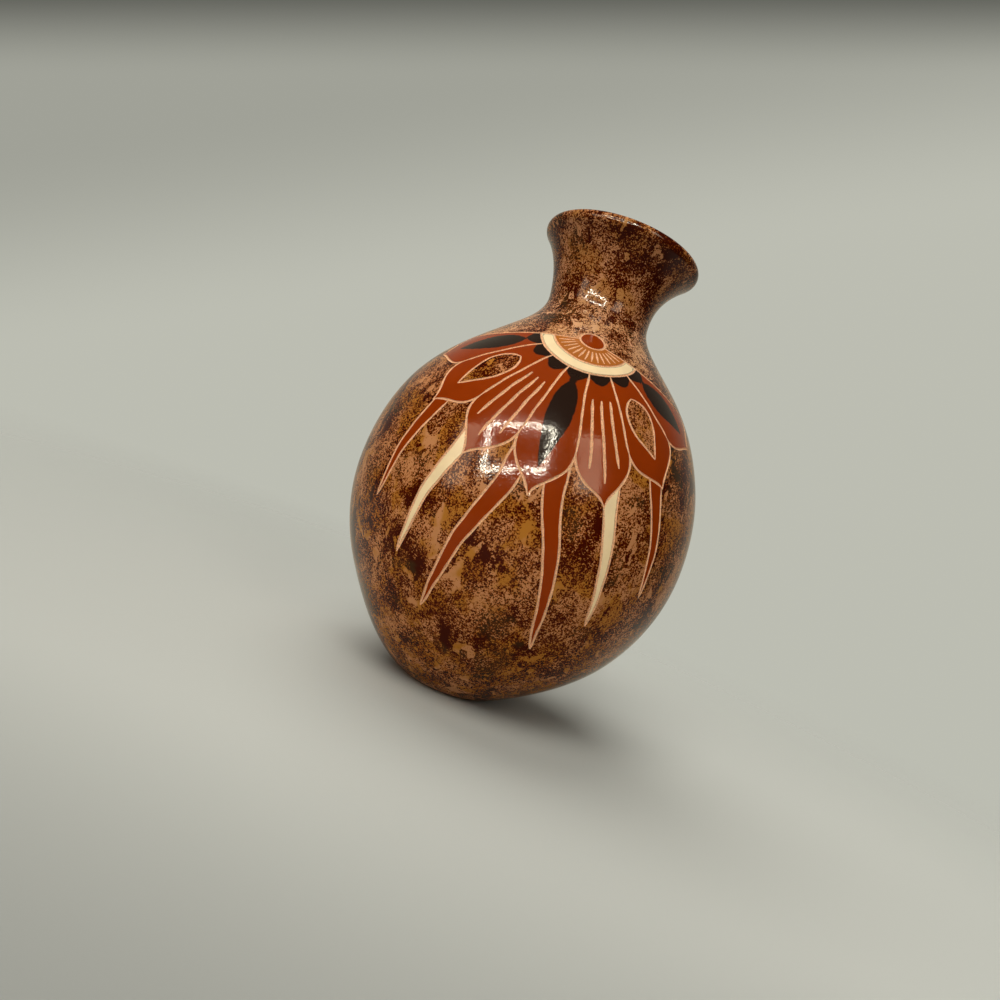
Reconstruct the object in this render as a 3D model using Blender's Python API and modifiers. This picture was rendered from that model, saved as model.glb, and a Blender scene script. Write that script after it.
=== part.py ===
"""Carved pottery vase: a round-bellied earthenware bottle with a narrow neck and a flared mouth.

The pot is built from the sections that a potter forms apart and lutes together: a base, a
bowl-shaped lower wall, a domed shoulder, a drawn-in neck and a flared rim. Each section is
a turned solid about the pot's own axis, +Z. The origin is the centre of the underside.
Metres throughout.
"""

import math

import bpy
import numpy as np

# Outer shape, each height measured from the one below it
FOOT_RADIUS = 0.018         # flat part of the underside
BELLY_LEVEL = 0.0775        # table to the widest girth
BELLY_RADIUS = 0.0698
SHOULDER_RISE = 0.085       # widest girth to the narrowest part of the neck
NECK_RADIUS = 0.0222
FLARE_RISE = 0.0345         # narrowest part of the neck to the top of the lip
RIM_RADIUS = 0.0335

# How full each curve is: the lengths of its tangent handles
FOOT_ANGLE = math.radians(20.0)      # rise of the wall as it leaves the underside
FOOT_HANDLE = 0.013
LOWER_BELLY_HANDLE = 0.045
UPPER_BELLY_HANDLE = 0.054
NECK_ROOT_HANDLE = 0.0068
NECK_HANDLE = 0.012
FLARE_ANGLE = math.radians(41.5)     # lean of the mouth outwards from upright
FLARE_HANDLE = 0.014

# Wall
WALL = 0.0056               # also the thickness of the rounded lip
BASE_THICKNESS = 0.009

# Where the sections are luted together
FOOT_SEAM_RISE = 0.0045     # inner floor to the seam of the base
NECK_ROOT_DROP = 0.0100     # narrowest part of the neck to the shoulder seam below it
LIP_DROP = 0.014            # top of the lip to the rim seam below it
SEAM_GAP = 0.0003           # clearance left between neighbouring sections

# Fineness of the turned faces
TURN_STEPS = 64
RING_SPACING = 0.0065       # distance along the wall from one ring of faces to the next
CURVE_POINTS = 80           # points that each outline curve is read at
BEAD_STEP = 30              # degrees of the lip's bead that one face spans
SMOOTH_ANGLE = math.radians(35.0)
MERGE_DISTANCE = 0.00001

# Finishes: colour and roughness
BELLY_SLIP = ((0.22, 0.065, 0.018), 0.25)
NECK_SLIP = ((0.19, 0.058, 0.018), 0.25)
BASE_CLAY = ((0.42, 0.20, 0.09), 0.75)

NECK_LEVEL = BELLY_LEVEL + SHOULDER_RISE
TOTAL_HEIGHT = NECK_LEVEL + FLARE_RISE
BEAD_RADIUS = WALL / 2.0
BEAD_CENTRE = (RIM_RADIUS - BEAD_RADIUS, TOTAL_HEIGHT - BEAD_RADIUS)

FOOT_SEAM = BASE_THICKNESS + FOOT_SEAM_RISE
NECK_SEAM = NECK_LEVEL - NECK_ROOT_DROP
RIM_SEAM = TOTAL_HEIGHT - LIP_DROP


def bezier(start, start_handle, end_handle, end):
    """Points of a cubic curve, each as (radius, height)."""
    points = []
    for step in range(CURVE_POINTS + 1):
        t = step / CURVE_POINTS
        s = 1.0 - t
        weights = (s * s * s, 3.0 * s * s * t, 3.0 * s * t * t, t * t * t)
        corners = (start, start_handle, end_handle, end)
        points.append(tuple(sum(w * c[axis] for w, c in zip(weights, corners)) for axis in (0, 1)))
    return points


def bead_point(angle):
    """A point on the lip's round bead: 0 faces outwards and a quarter turn faces up."""
    radius, height = BEAD_CENTRE
    return radius + BEAD_RADIUS * math.cos(angle), height + BEAD_RADIUS * math.sin(angle)


def outer_outline():
    """The outer face from the edge of the underside up to the lip, bottom to top."""
    foot = (FOOT_RADIUS, 0.0)
    foot_handle = (FOOT_RADIUS + FOOT_HANDLE * math.cos(FOOT_ANGLE), FOOT_HANDLE * math.sin(FOOT_ANGLE))
    belly = (BELLY_RADIUS, BELLY_LEVEL)
    neck = (NECK_RADIUS, NECK_LEVEL)
    lip = bead_point(-FLARE_ANGLE)
    lip_handle = (lip[0] - FLARE_HANDLE * math.sin(FLARE_ANGLE), lip[1] - FLARE_HANDLE * math.cos(FLARE_ANGLE))
    bowl = bezier(foot, foot_handle, (BELLY_RADIUS, BELLY_LEVEL - LOWER_BELLY_HANDLE), belly)
    dome = bezier(belly, (BELLY_RADIUS, BELLY_LEVEL + UPPER_BELLY_HANDLE),
                  (NECK_RADIUS, NECK_LEVEL - NECK_ROOT_HANDLE), neck)
    flare = bezier(neck, (NECK_RADIUS, NECK_LEVEL + NECK_HANDLE), lip_handle, lip)
    return bowl + dome[1:] + flare[1:]


def inner_outline(outer):
    """The inner face: the outer one moved in by the wall, square to it."""
    points = []
    last = len(outer) - 1
    for index, (radius, height) in enumerate(outer):
        before = outer[max(index - 1, 0)]
        after = outer[min(index + 1, last)]
        run, rise = after[0] - before[0], after[1] - before[1]
        length = math.hypot(run, rise)
        points.append((radius - WALL * rise / length, height + WALL * run / length))
    return points


def cut_at(outline, level):
    """Where an outline passes a height: the point, and how many of its points lie below."""
    for index, ((low_radius, low), (high_radius, high)) in enumerate(zip(outline, outline[1:])):
        if low <= level <= high:
            share = (level - low) / (high - low)
            return (low_radius + share * (high_radius - low_radius), level), index + 1
    raise ValueError("the outline doesn't reach %.4f m" % level)


def wall_rings(outline, bottom, top):
    """Points of one wall face between two heights, evenly spaced along it, top to bottom."""
    first, start = cut_at(outline, bottom)
    last, stop = cut_at(outline, top)
    path = [first] + [point for point in outline[start:stop] if point[1] > bottom] + [last]
    travelled = [0.0]
    for here, there in zip(path, path[1:]):
        travelled.append(travelled[-1] + math.dist(here, there))
    count = max(2, math.ceil(travelled[-1] / RING_SPACING))
    stations = np.linspace(travelled[-1], 0.0, count + 1)
    radii = np.interp(stations, travelled, [point[0] for point in path])
    levels = np.interp(stations, travelled, [point[1] for point in path])
    return list(zip(radii.tolist(), levels.tolist()))


def material(name, finish):
    colour, roughness = finish
    made = bpy.data.materials.new(name)
    made.use_nodes = True
    shader = made.node_tree.nodes["Principled BSDF"]
    shader.inputs["Base Color"].default_value = (*colour, 1.0)
    shader.inputs["Roughness"].default_value = roughness
    shader.inputs["Metallic"].default_value = 0.0
    made.diffuse_color = (*colour, 1.0)
    return made


def turned(name, outline, closed, finish, collection):
    """A solid of revolution from an outline that runs down its outer side."""
    profile = bpy.data.meshes.new(name + "_profile")
    edges = [(index, index + 1) for index in range(len(outline) - 1)]
    if closed:
        edges.append((len(outline) - 1, 0))
    profile.from_pydata([(radius, 0.0, height) for radius, height in outline], edges, [])
    piece = bpy.data.objects.new(name, profile)
    collection.objects.link(piece)
    screw = piece.modifiers.new("Turn", "SCREW")
    screw.axis = "Z"
    screw.angle = math.tau
    screw.steps = TURN_STEPS
    screw.render_steps = TURN_STEPS
    screw.use_merge_vertices = True
    screw.merge_threshold = MERGE_DISTANCE

    bpy.context.view_layer.update()
    mesh = bpy.data.meshes.new_from_object(piece.evaluated_get(bpy.context.evaluated_depsgraph_get()))
    mesh.name = name
    piece.modifiers.clear()
    piece.data = mesh
    bpy.data.meshes.remove(profile)
    mesh.materials.append(finish)
    mesh.shade_smooth()
    mesh.set_sharp_from_angle(angle=SMOOTH_ANGLE)
    return piece


def foot(outer, inner, finish, collection):
    """The base: a flat underside, a flat inner floor and a short turned-up edge."""
    top = FOOT_SEAM - SEAM_GAP / 2.0
    (edge_radius, _), _ = cut_at(inner, top)
    outline = [(0.0, BASE_THICKNESS), (edge_radius, BASE_THICKNESS), (edge_radius, top)]
    outline += wall_rings(outer, 0.0, top) + [(0.0, 0.0)]
    return turned("foot", outline, False, finish, collection)


def wall_section(name, outer, inner, bottom, top, finish, collection):
    """A ring of wall between two seams."""
    low, high = bottom + SEAM_GAP / 2.0, top - SEAM_GAP / 2.0
    outline = wall_rings(outer, low, high) + wall_rings(inner, low, high)[::-1]
    return turned(name, outline, True, finish, collection)


def rim(outer, inner, finish, collection):
    """The flared mouth, closed over the top by the lip's round bead."""
    bottom = RIM_SEAM + SEAM_GAP / 2.0
    flare = math.degrees(FLARE_ANGLE)
    short_face = BEAD_STEP / 4.0
    bead = []
    for degrees in range(180, -90, -BEAD_STEP):
        if short_face - flare < degrees < 180.0 - flare - short_face:
            bead.append(bead_point(math.radians(degrees)))
    outside = wall_rings(outer, bottom, outer[-1][1])
    inside = wall_rings(inner, bottom, inner[-1][1])
    return turned("rim", bead + outside + inside[::-1], True, finish, collection)


def build():
    for old in list(bpy.data.objects):
        bpy.data.objects.remove(old, do_unlink=True)
    pot = bpy.data.collections.new("carved_pottery_vase")
    bpy.context.scene.collection.children.link(pot)

    belly_slip = material("mottled_belly_slip", BELLY_SLIP)
    neck_slip = material("mottled_neck_slip", NECK_SLIP)
    base_clay = material("bare_base_clay", BASE_CLAY)

    outer = outer_outline()
    inner = inner_outline(outer)
    foot(outer, inner, base_clay, pot)
    wall_section("lower_body", outer, inner, FOOT_SEAM, BELLY_LEVEL, belly_slip, pot)
    wall_section("shoulder", outer, inner, BELLY_LEVEL, NECK_SEAM, belly_slip, pot)
    wall_section("neck", outer, inner, NECK_SEAM, RIM_SEAM, neck_slip, pot)
    rim(outer, inner, neck_slip, pot)


build()
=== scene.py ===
"""Carved pottery vase: the looks of the pot, built around its packed solids.

The wall is turned from one drawn outline, its motif is carved in as real grooves, and the pot is
then parted at the seams of the packed sections, so that each piece stands for one of them. The
motif is set out flat, across and up from the belly, and wrapped round the front of the shoulder.
The slips are painted by the materials. Metres throughout; +Z is the pot's axis and -Y its front.
"""

import math

import bpy
import numpy as np
from bpy.props import FloatProperty, FloatVectorProperty, IntProperty, PointerProperty
from mathutils import Matrix, Vector


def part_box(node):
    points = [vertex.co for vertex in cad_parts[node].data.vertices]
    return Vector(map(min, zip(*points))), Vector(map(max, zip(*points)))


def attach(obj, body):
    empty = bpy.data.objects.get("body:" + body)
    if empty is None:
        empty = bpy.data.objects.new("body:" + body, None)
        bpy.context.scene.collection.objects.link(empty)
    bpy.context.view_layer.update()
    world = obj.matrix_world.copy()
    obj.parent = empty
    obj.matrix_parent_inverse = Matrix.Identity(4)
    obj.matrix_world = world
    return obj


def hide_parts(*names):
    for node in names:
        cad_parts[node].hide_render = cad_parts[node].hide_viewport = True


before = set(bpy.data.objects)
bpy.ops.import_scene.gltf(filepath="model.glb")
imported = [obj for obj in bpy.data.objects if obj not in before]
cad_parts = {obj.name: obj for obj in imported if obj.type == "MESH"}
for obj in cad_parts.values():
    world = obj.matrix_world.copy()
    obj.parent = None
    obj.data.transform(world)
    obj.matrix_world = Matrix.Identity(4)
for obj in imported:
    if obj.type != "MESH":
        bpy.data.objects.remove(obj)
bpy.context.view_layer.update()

bl_info = {
    "name": "Carved pottery vase",
    "version": (1, 0, 0),
    "blender": (4, 5, 0),
    "location": "View3D > Sidebar > Vase",
    "description": "Turns, carves and paints a round-bellied pottery vase around its packed solids",
    "category": "Object",
}

# The packed sections, bottom to top, each with the piece that stands for it and its finish
SECTIONS = (
    ("foot", "burnished_foot", "base_clay"),
    ("lower_body", "burnished_bowl", "belly_slip"),
    ("shoulder", "carved_shoulder", "belly_slip"),
    ("neck", "burnished_neck", "neck_slip"),
    ("rim", "burnished_rim", "neck_slip"),
)
RIM_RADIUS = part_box("rim")[1].x
TOTAL_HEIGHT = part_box("rim")[1].z
BELLY_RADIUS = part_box("shoulder")[1].x
BELLY_LEVEL = (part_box("lower_body")[1].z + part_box("shoulder")[0].z) / 2.0

# How full each curve of the outline is: the lengths of its tangent handles
FOOT_ANGLE = math.radians(20.0)
FOOT_HANDLE = 0.013
LOWER_BELLY_HANDLE = 0.045
UPPER_BELLY_HANDLE = 0.060
NECK_ROOT_HANDLE = 0.0185
NECK_HANDLE = 0.016
FLARE_ANGLE = math.radians(41.5)
FLARE_HANDLE = 0.0015

# Directions at the lip, as (radius, height): along the wall, and square to it outwards
LIP_LEAN = Vector((math.sin(FLARE_ANGLE), math.cos(FLARE_ANGLE)))
LIP_OUT = Vector((math.cos(FLARE_ANGLE), -math.sin(FLARE_ANGLE)))

# Fineness of the turned wall
TURN_STEPS = 320
OUTLINE_STEPS = 64          # rings of faces along each of the outline's three curves
LIP_SEGMENTS = 6            # faces round each edge of the lip
LIP_BEVEL = 0.498           # share of the wall that the rounding of each edge takes
WRAP_STEPS = 200            # points that each curve is read at to wrap the motif round it
MERGE_DISTANCE = 0.00001
CUT_TOLERANCE = 0.000001
LIP_TOLERANCE = 10.0 * MERGE_DISTANCE
SMOOTH_ANGLE = math.radians(32.0)

# How the hand-built pot strays from true: a height, how far it lies to the side there, and the
# reach of that
LEANS = ((0.0, -0.0040, 0.050), (0.145, 0.0017, 0.040), (0.176, -0.0010, 0.024))
LEAN_RING = 0.0006          # half the height of the ring of wall that is moved there
BELOW, ABOVE = -1.0, 1.0    # heights past either end of the pot

# Material slots of the pot while it is whole. The carved clay comes after them
OUTSIDE, INSIDE = 0, 1

# Hand of the carver: over what lengths lines stray from the drawing, and by what share of each length
STRAY_LENGTHS = (0.0110, 0.0190, 0.0370)
STRAY_SHARE = 0.0050
ACROSS_SLANT, UP_SLANT = 0.6, 0.5        # how much the waves of straying slant
STROKE_STEP = 0.0010        # spacing of the points along a carved line
STROKE_SIDES = 3            # bevel resolution of the round gouge
OUTLINE_WEIGHT = 0.76       # share of the full gouge that outlines are cut with
RIB_WEIGHT = 0.98
SLOW_SWING, SLOW_PACE = 0.07, 0.9       # waves of pressure: their share, and their pace along a line
QUICK_SWING, QUICK_PACE = 0.05, 2.3
END_WEIGHT, END_GAIN = 0.62, 0.12       # weight at the end of a line, and what each point adds to it
CLEARANCE = 2.4             # least gap between lines that are cut together, in gouge radii

# Proportions of the motif
PETAL_OUT = (0.55, 0.62)    # how far out the handles of a petal's side lie, from notch to tip
PETAL_ROUND = 0.86          # how far round towards its middle the second one lies
SIDE_SHORTENING = 0.006     # how much shorter a petal at the fan's edge would be
LEAF_FULLNESS = 0.72        # below 1, a leaf is widest nearer its start
SWAY_PACE, SWAY_LOSS = 0.85, 0.3
RIBBON_ROOT, RIBBON_GAIN, RIBBON_TAPER = 0.35, 3.0, 0.62
REACH = 0.003               # distance past which points are too far from a shape to matter
SMALLEST = 1e-18            # keeps the length of a side above 0
ARC_STEPS, PETAL_STEPS, LEAF_STEPS, SMOOTH_STEPS = 48, 16, 24, 12
RIB_GAPS = (0.0022, 0.0016)             # plain slip at the inner and outer end of the shell's ribs
BAND_SCALLOP = ((0.0, 0.0022), (0.3, 0.0050), (0.5, 0.0058), (0.7, 0.0050), (1.0, 0.0022))
FLAME = (0.006, 0.009, 0.0046)          # a flame's gaps from arch and tip, and its half width
RESERVE = (0.0115, 0.012, 0.0050)       # the same for a reserve
RIB_START, RIB_END = 0.0125, 0.0085     # a petal's ribs: their gaps from arch and tip
RIB_SHARES = (-0.5, 0.0, 0.5)           # where they lie between the petal's middle and its sides
OUTER_RIB_SHORTENING = 0.010

# Ribbons at either side: slip, top as across and up, length, drift, sway and width
RIBBONS = (
    ("brick", (0.0098, 0.031), 0.0760, 0.0110, -0.0034, 0.0084),
    ("cream", (0.0280, 0.037), 0.0660, 0.0090, -0.0032, 0.0066),
    ("brick", (0.0440, 0.047), 0.0600, 0.0120, -0.0034, 0.0074),
)


# Settings

def length_setting(name, description, default):
    return FloatProperty(name=name, description=description, default=default, unit="LENGTH")


def colour_setting(name, description, default):
    return FloatVectorProperty(name=name, description=description, default=default, subtype="COLOR")


def glow_setting(name, description, default):
    return FloatProperty(name=name, description=description, default=default, min=0.0)


class VaseSizes(bpy.types.PropertyGroup):
    """The pot's outline and wall."""

    foot_radius: length_setting("Foot radius", "Radius of the flat underside", 0.018)
    belly_level: length_setting("Belly level", "Height of the widest girth", BELLY_LEVEL)
    belly_radius: length_setting("Belly radius", "Radius at the widest girth", BELLY_RADIUS)
    neck_level: length_setting("Neck level", "Height of the narrowest part of the neck", 0.1672)
    neck_radius: length_setting("Neck radius", "Radius of the narrowest part of the neck", 0.0219)
    rim_radius: length_setting("Rim radius", "Outer radius of the lip", RIM_RADIUS)
    total_height: length_setting("Total height", "Table to the top of the lip", TOTAL_HEIGHT)
    wall: length_setting("Wall", "Thickness of the wall", 0.0056)
    floor_level: length_setting("Inner floor", "Height of the flat floor inside", 0.009)


class VaseCarving(bpy.types.PropertyGroup):
    """The carved fan and its ribbons, measured on the flat."""

    pivot: length_setting("Pivot", "Height of the fan's pivot above the widest girth, along the wall", 0.0790)
    spread: FloatProperty(
        name="Spread", description="Angle from the middle of the fan to either side of it",
        default=math.radians(73.5), unit="ROTATION")
    petals: IntProperty(name="Petals", description="Number of petals in the fan", default=7, min=3)
    boss_radius: length_setting("Boss", "Radius of the round boss at the pivot", 0.0050)
    shell_radius: length_setting("Shell", "Outer radius of the ribbed shell", 0.0150)
    arch_radius: length_setting("Arch", "Outer radius of the pale arch round the shell", 0.0205)
    notch_radius: length_setting("Notch", "Distance from the pivot to the notches between petals", 0.0540)
    tip_radius: length_setting("Tip", "Distance from the pivot to the petal tips", 0.0730)
    gouge_radius: length_setting("Gouge", "Radius of the round gouge that cuts the lines", 0.00068)
    gouge_lift: length_setting("Gouge lift", "Height of the gouge's centre above the wall", 0.00032)


class VaseColours(bpy.types.PropertyGroup):
    """Slips and clays, each as its colour in plain light."""

    maroon: colour_setting("Maroon", "Dark ground of the sponging", (0.046, 0.0036, 0.0003))
    umber: colour_setting("Umber", "Smoky patches of the ground", (0.044, 0.018, 0.005))
    rust: colour_setting("Rust", "Middle coat of the sponging", (0.230, 0.050, 0.005))
    tan: colour_setting("Tan", "Light dabs of the sponging", (0.545, 0.228, 0.084))
    ochre: colour_setting("Ochre", "Yellow dabs and solid patches", (0.430, 0.160, 0.020))
    brick: colour_setting("Brick", "Slip of the petals and dark ribbons", (0.280, 0.034, 0.0018))
    black: colour_setting("Black", "Slip of the flames and the band", (0.022, 0.0105, 0.0060))
    cream: colour_setting("Cream", "Slip of the arch and pale ribbons", (0.99, 0.745, 0.41))
    orange: colour_setting("Orange", "Slip of the ribbed shell", (0.46, 0.135, 0.022))
    carved: colour_setting("Carved clay", "Bare clay in the carved lines", (0.82, 0.43, 0.21))
    bare: colour_setting("Bare clay", "Clay of the underside and of the inside", (0.36, 0.155, 0.07))


class VaseStage(bpy.types.PropertyGroup):
    """Floor, backdrop and light, where a brightness of 1 is white."""

    floor_colour: colour_setting("Floor", "Colour of the floor", (0.53, 0.53, 0.465))
    backdrop: colour_setting("Backdrop", "Colour behind the pot", (0.505, 0.51, 0.445))
    backdrop_top: colour_setting("Backdrop top", "Colour of the backdrop high up", (0.070, 0.072, 0.061))
    room: colour_setting("Room", "Colour of what shows in the gloss near the edges", (0.40, 0.37, 0.285))
    ambient: glow_setting("Ambient", "Strength of the light from all round", 0.095)
    key_glow: glow_setting("Key", "Brightness of the key light's bars", 108.0)
    front_glow: glow_setting("Front", "Brightness of the soft lamp in front", 5.85)
    overhead_glow: glow_setting("Overhead", "Brightness of the lamp overhead", 2.75)
    side_glow: glow_setting("Sides", "Brightness of the soft lamps at either side", 3.1)
    window_glow: glow_setting("Windows", "Brightness of the two soft windows", 8.2)


# Modelling helpers

def only(piece):
    """Selects one object and makes it the active one."""
    bpy.ops.object.select_all(action="DESELECT")
    piece.select_set(True)
    bpy.context.view_layer.objects.active = piece


def switch(mode):
    bpy.ops.object.mode_set(mode=mode)


def clear_selection(piece, kind):
    """Deselects everything in one object's mesh, so that its vertices, edges or faces can be picked."""
    only(piece)
    switch("EDIT")
    bpy.ops.mesh.select_mode(type=kind)
    bpy.ops.mesh.select_all(action="DESELECT")
    switch("OBJECT")


def pick(elements, chosen):
    """Selects the vertices, edges or faces that pass a test, outside edit mode."""
    elements.foreach_set("select", [bool(chosen(element)) for element in elements])


def edit_those(piece, kind, chosen):
    """Opens one object in edit mode with the vertices, edges or faces selected that pass a test."""
    clear_selection(piece, kind)
    mesh = piece.data
    pick({"VERT": mesh.vertices, "EDGE": mesh.edges, "FACE": mesh.polygons}[kind], chosen)
    switch("EDIT")


def weld():
    """Merges the coinciding points of the mesh in edit mode and turns its faces one way."""
    bpy.ops.mesh.select_all(action="SELECT")
    bpy.ops.mesh.remove_doubles(threshold=MERGE_DISTANCE)
    bpy.ops.mesh.normals_make_consistent(inside=False)


def apply_modifier(piece, kind, **settings):
    only(piece)
    made = piece.modifiers.new(kind.title(), kind)
    for field, value in settings.items():
        setattr(made, field, value)
    bpy.ops.object.modifier_apply(modifier=made.name)


# Shader helpers

# Places of the Mix node's sockets when it mixes colours, which share their names with other sockets
MIX_SHARE, MIX_FIRST, MIX_SECOND, MIX_RESULT = 0, 6, 7, 2


def node(tree, kind, *values, named=None, **settings):
    """A shader node. Values and sockets go to its inputs in order, settings to its own fields."""
    made = tree.nodes.new("ShaderNode" + kind)
    for field, value in settings.items():
        setattr(made, field, value)
    for key, value in [*enumerate(values), *(named or {}).items()]:
        if isinstance(value, bpy.types.NodeSocket):
            tree.links.new(value, made.inputs[key])
        else:
            made.inputs[key].default_value = value
    return made


def calculate(tree, operation, *values):
    return node(tree, "Math", *values, operation=operation).outputs[0]


def fade(tree, value, start, end, low=0.0, high=1.0):
    """A soft step from low to high as a value goes from start to end."""
    ramp = node(tree, "MapRange", value, start, end, low, high, interpolation_type="SMOOTHSTEP", clamp=True)
    return ramp.outputs[0]


def mingle(tree, share, first, second):
    """Two colours mixed: share 0 gives the first and 1 the second."""
    first, second = (colour if isinstance(colour, bpy.types.NodeSocket) else (*colour, 1.0)
                     for colour in (first, second))
    made = node(tree, "Mix", data_type="RGBA", named={MIX_SHARE: share, MIX_FIRST: first, MIX_SECOND: second})
    return made.outputs[MIX_RESULT]


def cloud(tree, place, scale, detail=2.0, roughness=0.5, distortion=0.0, shift=None):
    """Soft noise from 0 to 1, its scale in lumps a metre."""
    if shift:
        place = node(tree, "Mapping", place, shift).outputs[0]
    noise = node(tree, "TexNoise", named={
        "Vector": place, "Scale": scale, "Detail": detail, "Roughness": roughness, "Distortion": distortion})
    return noise.outputs[0]


def object_place(tree):
    return node(tree, "TexCoord").outputs["Object"]


def new_group(name, inputs, outputs):
    """An empty node group: sockets are pairs of a name and a kind, and inputs carry a default."""
    group = bpy.data.node_groups.new(name, "ShaderNodeTree")
    for label, kind, default in inputs:
        socket = group.interface.new_socket(label, in_out="INPUT", socket_type=kind)
        socket.default_value = default
    for label, kind in outputs:
        group.interface.new_socket(label, in_out="OUTPUT", socket_type=kind)
    return group, group.nodes.new("NodeGroupInput"), group.nodes.new("NodeGroupOutput")


def place_group(tree, group):
    made = tree.nodes.new("ShaderNodeGroup")
    made.node_tree = group
    return made


def raise_surface(tree, shader, height):
    """Feeds a height, in metres, to a shader as its bump."""
    bump = node(tree, "Bump", named={"Strength": 1.0, "Distance": 1.0, "Height": height})
    tree.links.new(bump.outputs[0], shader.inputs["Normal"])


def new_material(name):
    made = bpy.data.materials.new(name)
    made.use_nodes = True
    tree = made.node_tree
    return made, tree, tree.nodes["Principled BSDF"]


# Finishes

# Noise of the sponging: lumps a metre, detail, roughness, distortion and shift
COARSE_GRAIN = (1000.0, 2.0, 0.6, 0.5)
FINE_GRAIN = (2000.0, 1.0, 0.6, 0.3, (0.3, 0.1, 0.7))
PATCHES = (95.0, 4.0, 0.62, 0.5, (0.11, 0.27, 0.05))
DAUBS = (150.0, 2.0, 0.5, 0.4, (0.6, 0.2, 0.9))
SMEARS = (80.0, 3.0, 0.6, 0.4, (0.9, 0.7, 0.3))
SMOKE = (52.0, 3.0, 0.6, 0.3, (0.5, 0.9, 0.2))
YELLOWING = (66.0, 3.0, 0.6, 0.3, (0.8, 0.4, 0.6))
DRAWN_OUT = (1.0, 1.0, 0.62)        # patches are longer along the pot's axis

# How the sponging is put together: fades are where one starts and ends, and what it goes between
COARSE_SHARE, FINE_SHARE, GRAIN_DROP = 0.80, 0.95, 0.375
PATCH_SWING = 0.85
DAUB_FADE = (0.64, 0.67, 0.0, 0.30)
SMEAR_FADE = (0.56, 0.70, 0.0, 0.26)
SMOKE_FADE = (0.53, 0.63)
YELLOW_FADE = (0.46, 0.58)
RUST_FADE = (0.445, 0.485)
DAB_FADE = (0.55, 0.585)

# The same by height: the mouth is a little darker, and round the root of the neck a painted sheen pales the
# dabs
MOUTH_FADE = (0.160, 0.175, 0.0, 0.03)
PAINTED_SHEEN_FADE = (0.134, 0.150, 0.0, 0.45)
PAINTED_SHEEN_END_FADE = (0.156, 0.172, 0.0, 0.32)
PAINTED_SHEEN_DAB = (0.95, 0.56, 0.30)

# The burnish: noise as above, the spread of roughness, and heights in metres
WORN, WORN_FADE = (120.0, 3.0, 0.6), (0.0, 1.0, -0.03, 0.03)
SPECKS, SPECK_FADE = (2300.0, 0.0, 0.5, 0.0, (0.4, 0.8, 0.1)), (0.34, 0.66, 0.02, 0.17)
TOOTH, TOOTH_HEIGHT = (1300.0, 0.0), 0.000022
FACETS, FACET_HEIGHT = (55.0, 1.0, 0.4, 0.0, (0.2, 0.6, 0.4)), 0.00022
SLIP_SPECULAR = 0.28

# The painted slips: how soft each one's edge is, how a brush strays, and how thin the slip gets
SLIP_EDGES = (("brick", 0.00012), ("cream", 0.0001), ("orange", 0.0001), ("black", 0.0002))
BRUSH, BRUSH_STRAY = (700.0, 2.0), 0.0006
THINNING, THINNING_FADE, THIN_SLIP = (140.0, 3.0, 0.6), (0.3, 0.7), 0.92

# A dark line along the inside of the arch, next to its carved edge: how far in it lies, how it fades to
# either side, and its colour
DARK_LINE_INSET, DARK_LINE_FADE = 0.00062, (0.00006, 0.00018, 0.55, 0.0)
DARK_LINE_COLOUR = (0.05, 0.03, 0.02)

# The foot, worn bare below a ragged edge, and the grain of bare clay
RAGGED, RAGGED_FADE = (420.0, 4.0, 0.65), (0.0, 0.0006, 1.0, 0.0)
CLAY_GRAIN, CLAY_FADE = (4.0, 0.65), (0.36, 0.64)
CLAY_DARK, CLAY_LIGHT = 0.62, 1.22
WORN_BELOW = 0.0035

# Bare clays: specks a metre, height of the bump, and roughness
INSIDE_CLAY = (900.0, 0.00012, 0.85)
CARVED_CLAY = (2600.0, 0.00005, 0.9)
BASE_CLAY = (1500.0, 0.00008, 0.8)


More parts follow.
